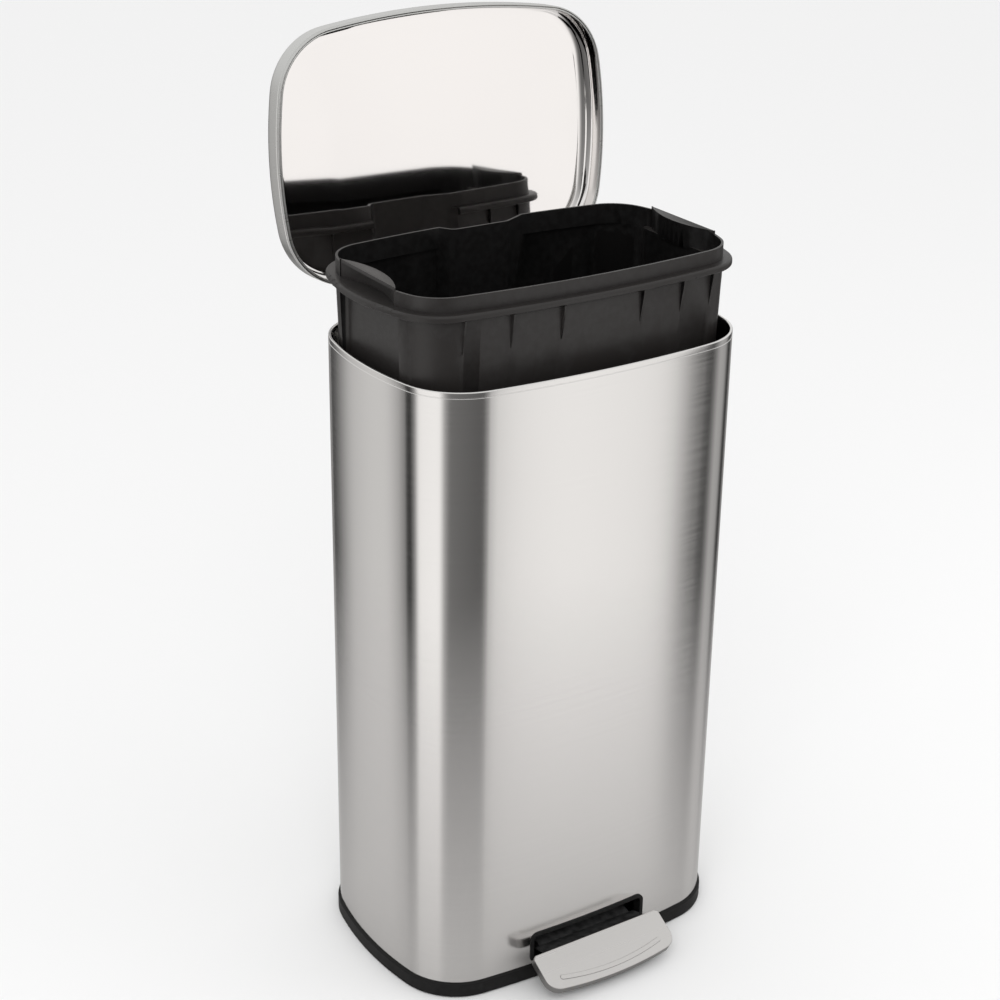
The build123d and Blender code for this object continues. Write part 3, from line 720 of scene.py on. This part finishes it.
def buildStuds():
    tree = makeStudTree(materials["plated_steel"])
    head = turnedHead("rivetHead", domedProfile(*studs["bracketHead"]))
    points = [(side * studs["bracketX"], y, studs["bracketZ"]) for side in (-1, 1) for y in studs["bracketY"]]
    rivets = growPiece("bracketRivetHeads", points, False, tree, Head=head)
    finishPiece(rivets, "housing", ["bracket_rivets"])
    height = lid["hem"] + studs["lidUp"]
    lidHead = turnedHead("lidRivetHead", domedProfile(*studs["lidHead"]))
    outer = growPiece(
        "lidRivetsOuter", [(x, studs["lidOuterY"], height) for x in studs["lidX"]], False, tree,
        Head=lidHead, Turn=(math.radians(-90), 0.0, 0.0)
    )
    swingOpen(outer)
    finishPiece(outer, "lid", [])
    inner = growPiece(
        "lidRivetsInner", [(x, studs["lidInnerY"], height) for x in studs["lidX"]], False, tree,
        Head=lidHead, Turn=(math.radians(90), 0.0, 0.0)
    )
    swingOpen(inner)
    finishPiece(inner, "lid", ["lid_bracket_rivets"])
    for spare in (head, lidHead):
        bpy.data.objects.remove(spare)


def buildHemBead():
    # The inner roll of the lid's hem, beside the outer one swept with the skin
    tree = makeBeadTree(materials["satin_lid"])
    inset = 2 * lid["roll"] + lid["innerRoll"] - 0.1
    height = lid["hem"] + lid["innerRoll"] + 0.1
    points = [(*outlinePoint("lid", angle, inset), height) for angle in outlineAngles("lid")]
    bead = growPiece("lidHemBead", points, True, tree, Wire_Radius=lid["innerRoll"] * mm, Sides=12)
    swingOpen(bead)
    finishPiece(bead, "lid", [])


buildStuds()
buildHemBead()
print("beads and studs grown")


# Mouldings made from a node's own shape: first the inner bucket

weld = {"merge": 0.00002, "flatAngle": 0.4, "sharpAngle": 30, "roundFrom": 40}
bucket = {"edgeRound": 0.5, "insideBelow": 3.0, "middleY": 2.5, "floorBelow": 0.2}


def weldedCopy(node, name):
    # A node's own shape with its seams welded and its flats made whole
    work = bmesh.new()
    work.from_mesh(nodes[node].data)
    bmesh.ops.remove_doubles(work, verts=work.verts, dist=weld["merge"])
    flat = math.radians(weld["flatAngle"])
    bmesh.ops.dissolve_limit(work, angle_limit=flat, verts=work.verts, edges=work.edges)
    for face in work.faces:
        face.smooth = True
    mesh = bpy.data.meshes.new(name)
    work.to_mesh(mesh)
    work.free()
    mesh.set_sharp_from_angle(angle=math.radians(weld["sharpAngle"]))
    piece = bpy.data.objects.new(name, mesh)
    bpy.context.scene.collection.objects.link(piece)
    return piece


def roundEdges(piece, width):
    rounding = piece.modifiers.new("rounding", "BEVEL")
    rounding.width = width * mm
    rounding.segments = 2
    rounding.limit_method = "ANGLE"
    rounding.angle_limit = math.radians(weld["roundFrom"])
    rounding.use_clamp_overlap = True


def buildBucket():
    # The moulding with rounded edges; its inside and floor get a darker copy of the plastic as painted shade
    piece = weldedCopy("inner_bucket", "bucketMoulding")
    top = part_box("inner_bucket")[1][2] - bucket["insideBelow"] * mm
    middleY = bucket["middleY"] * mm
    for face in piece.data.polygons:
        # Faces turned inwards below the rim, and the floor, take the painted shade
        inward = face.normal.x * face.center.x * 0.35 + face.normal.y * (face.center.y - middleY)
        floorFace = face.normal.z > 0.7 and face.center.z < bucket["floorBelow"]
        face.material_index = 1 if floorFace or (inward < -0.004 and face.center.z < top) else 0
    piece.data.materials.append(materials["bucket_plastic"])
    piece.data.materials.append(materials["bucket_inside_painted_shade"])
    roundEdges(piece, bucket["edgeRound"])
    finishPiece(piece, "bucket", ["inner_bucket"])


buildBucket()
print("bucket finished")


# Pedal pad

pad = {"edgeRound": 0.3, "tilt": 28.2, "skirtBelow": 0.45}


def buildPad():
    # Bright on top; the skirt that turns down round it gets a darker copy of the satin as painted shade
    piece = weldedCopy("pedal_pad", "pedalPlate")
    tilt = math.radians(pad["tilt"])
    upward = Vector((0, -math.sin(tilt), math.cos(tilt)))
    for face in piece.data.polygons:
        face.material_index = 0 if face.normal.dot(upward) > pad["skirtBelow"] else 1
    piece.data.materials.append(materials["satin_pedal"])
    piece.data.materials.append(materials["pedal_skirt_painted_shade"])
    roundEdges(piece, pad["edgeRound"])
    finishPiece(piece, "pedal", ["pedal_pad"])


buildPad()
print("pedal finished")


# Floor, light and camera

studio = {
    "floorSize": 60.0, "floorDrop": 0.0002,
    "paper": (0.88, 0.88, 0.88), "reflectedPaperShade": (0.60, 0.59, 0.585),
    "softLight": 1.0, "backdrop": 0.97, "clearFrom": 0.08, "clearTo": 0.95,
    "ceilingFrom": -0.15, "ceilingTo": 0.25, "ceiling": (0.95, 0.95, 0.94),
    "groundFrom": -0.58, "groundTo": -0.70, "ground": (0.80, 0.79, 0.78), "bandTint": (1.0, 0.985, 0.97),
    "keyPower": 16.0, "fillPower": 4.0, "boxSize": 1.6, "boxAim": (0, 0, 0.35),
}

# What polished faces see round the room: degrees from the front, positive to the right, and brightness
roomBands = [
    (-172, 0.08), (-165, 0.35), (-158, 0.64), (-146, 0.76), (-136, 0.80), (-129, 0.45), (-123, 0.06),
    (-115, 0.03), (-106, 0.32), (-98, 1.15), (-62, 1.22), (-54, 0.45), (-46, 0.20), (8, 0.13), (15, 0.35),
    (22, 1.08), (30, 1.16), (47, 1.08), (50, 0.05), (55, 0.06), (62, 0.20), (76, 0.50), (92, 0.42),
    (104, 0.04), (112, 0.06), (122, 0.35), (160, 0.30),
]


def buildWorld():
    world = bpy.data.worlds.new("studioRoom")
    bpy.context.scene.world = world
    world.use_nodes = True
    tree = world.node_tree
    tree.nodes.clear()
    coords = addNode(tree, "ShaderNodeTexCoord")
    split = addNode(tree, "ShaderNodeSeparateXYZ")
    tree.links.new(coords.outputs["Generated"], split.inputs[0])
    forward = mathNode(tree, "MULTIPLY", split.outputs["Y"], -1.0)
    azimuth = mathNode(tree, "ARCTAN2", split.outputs["X"], forward)
    around = spread(tree, azimuth, 0.0, 1.0, -math.pi, math.pi)
    ramp = addNode(tree, "ShaderNodeValToRGB")
    stops = ramp.color_ramp.elements
    while len(stops) > 1:
        stops.remove(stops[-1])
    for index, (degrees, brightness) in enumerate(roomBands):
        place = (degrees + 180) / 360
        stop = stops[0] if index == 0 else stops.new(place)
        stop.position = place
        stop.color = (*(brightness * share for share in studio["bandTint"]), 1)
    tree.links.new(around, ramp.inputs[0])
    above = spread(tree, split.outputs["Z"], 0.0, 1.0, studio["ceilingFrom"], studio["ceilingTo"])
    sides = mixed(tree, above, ramp.outputs[0], studio["ceiling"])
    below = spread(tree, split.outputs["Z"], 0.0, 1.0, studio["groundFrom"], studio["groundTo"])
    room = mixed(tree, below, sides, studio["ground"])
    path = addNode(tree, "ShaderNodeLightPath")
    soft = addNode(tree, "ShaderNodeBackground")
    soft.inputs["Color"].default_value = (*[studio["softLight"]] * 3, 1)
    glossy = addNode(tree, "ShaderNodeBackground")
    tree.links.new(room, glossy.inputs["Color"])
    seen = addNode(tree, "ShaderNodeBackground")
    seen.inputs["Color"].default_value = (*[studio["backdrop"]] * 3, 1)
    withGlossy = addNode(tree, "ShaderNodeMixShader")
    tree.links.new(path.outputs["Is Glossy Ray"], withGlossy.inputs[0])
    tree.links.new(soft.outputs[0], withGlossy.inputs[1])
    tree.links.new(glossy.outputs[0], withGlossy.inputs[2])
    withCamera = addNode(tree, "ShaderNodeMixShader")
    tree.links.new(path.outputs["Is Camera Ray"], withCamera.inputs[0])
    tree.links.new(withGlossy.outputs[0], withCamera.inputs[1])
    tree.links.new(seen.outputs[0], withCamera.inputs[2])
    result = addNode(tree, "ShaderNodeOutputWorld")
    tree.links.new(withCamera.outputs[0], result.inputs["Surface"])


def floorMaterial():
    # Pale paper that reflections see only near the can, and darker in them than the camera sees it: painted shade
    # in the floor's reflection
    material = bpy.data.materials.new("paperFloor")
    material.use_nodes = True
    tree = material.node_tree
    shader = tree.nodes["Principled BSDF"]
    shader.inputs["Roughness"].default_value = 0.9
    shader.inputs["Specular IOR Level"].default_value = 0.1
    geometry = addNode(tree, "ShaderNodeNewGeometry")
    length = addNode(tree, "ShaderNodeVectorMath", operation="LENGTH")
    tree.links.new(geometry.outputs["Position"], length.inputs[0])
    far = spread(tree, length.outputs["Value"], 0.0, 1.0, studio["clearFrom"], studio["clearTo"])
    path = addNode(tree, "ShaderNodeLightPath")
    # Glossy rays see a darker paper: painted shade in the floor's reflection
    paper = addNode(tree, "ShaderNodeMix", data_type="RGBA")
    tree.links.new(path.outputs["Is Glossy Ray"], paper.inputs["Factor"])
    paper.inputs["A"].default_value = (*studio["paper"], 1)
    paper.inputs["B"].default_value = (*studio["reflectedPaperShade"], 1)
    tree.links.new(paper.outputs["Result"], shader.inputs["Base Color"])
    hidden = mathNode(tree, "MULTIPLY", far, path.outputs["Is Glossy Ray"])
    clear = addNode(tree, "ShaderNodeBsdfTransparent")
    mix = addNode(tree, "ShaderNodeMixShader")
    tree.links.new(hidden, mix.inputs[0])
    tree.links.new(shader.outputs[0], mix.inputs[1])
    tree.links.new(clear.outputs[0], mix.inputs[2])
    result = tree.nodes["Material Output"]
    tree.links.new(mix.outputs[0], result.inputs["Surface"])
    return material


def buildFloor():
    work = bmesh.new()
    bmesh.ops.create_grid(work, x_segments=8, y_segments=8, size=studio["floorSize"] / 2)
    mesh = bpy.data.meshes.new("paperFloor")
    work.to_mesh(mesh)
    work.free()
    mesh.transform(Matrix.Translation((0, 0, -studio["floorDrop"])))
    mesh.materials.append(floorMaterial())
    floor = bpy.data.objects.new("paperFloor", mesh)
    bpy.context.scene.collection.objects.link(floor)


def addSoftbox(name, place, power):
    light = bpy.data.lights.new(name, "AREA")
    light.shape = "SQUARE"
    light.size = studio["boxSize"]
    light.energy = power
    box = bpy.data.objects.new(name, light)
    bpy.context.scene.collection.objects.link(box)
    direction = Vector(studio["boxAim"]) - Vector(place)
    box.matrix_world = Matrix.Translation(place) @ direction.to_track_quat("-Z", "Y").to_matrix().to_4x4()
    box.visible_glossy = False


view = {
    "place": (-0.9299, -1.3797, 1.1721), "target": (-0.03102, 0.0, 0.4415), "roll": 0.877, "lens": 71.49,
}


def buildCamera():
    place = Vector(view["place"])
    ahead = (Vector(view["target"]) - place).normalized()
    levelRight = ahead.cross(Vector((0, 0, 1))).normalized()
    levelUp = levelRight.cross(ahead)
    roll = math.radians(view["roll"])
    right = levelRight * math.cos(roll) + levelUp * math.sin(roll)
    up = levelUp * math.cos(roll) - levelRight * math.sin(roll)
    turned = Matrix((right, up, -ahead)).transposed().to_4x4()
    data = bpy.data.cameras.new("studioCamera")
    data.sensor_width = 36.0
    data.lens = view["lens"]
    camera = bpy.data.objects.new("studioCamera", data)
    bpy.context.scene.collection.objects.link(camera)
    camera.matrix_world = Matrix.Translation(place) @ turned
    bpy.context.scene.camera = camera


buildWorld()
buildFloor()
addSoftbox("keySoftbox", (-1.3, -1.6, 2.2), studio["keyPower"])
addSoftbox("fillSoftbox", (1.7, -1.0, 1.4), studio["fillPower"])
buildCamera()
bpy.context.scene.view_settings.view_transform = "Standard"
print("studio set")
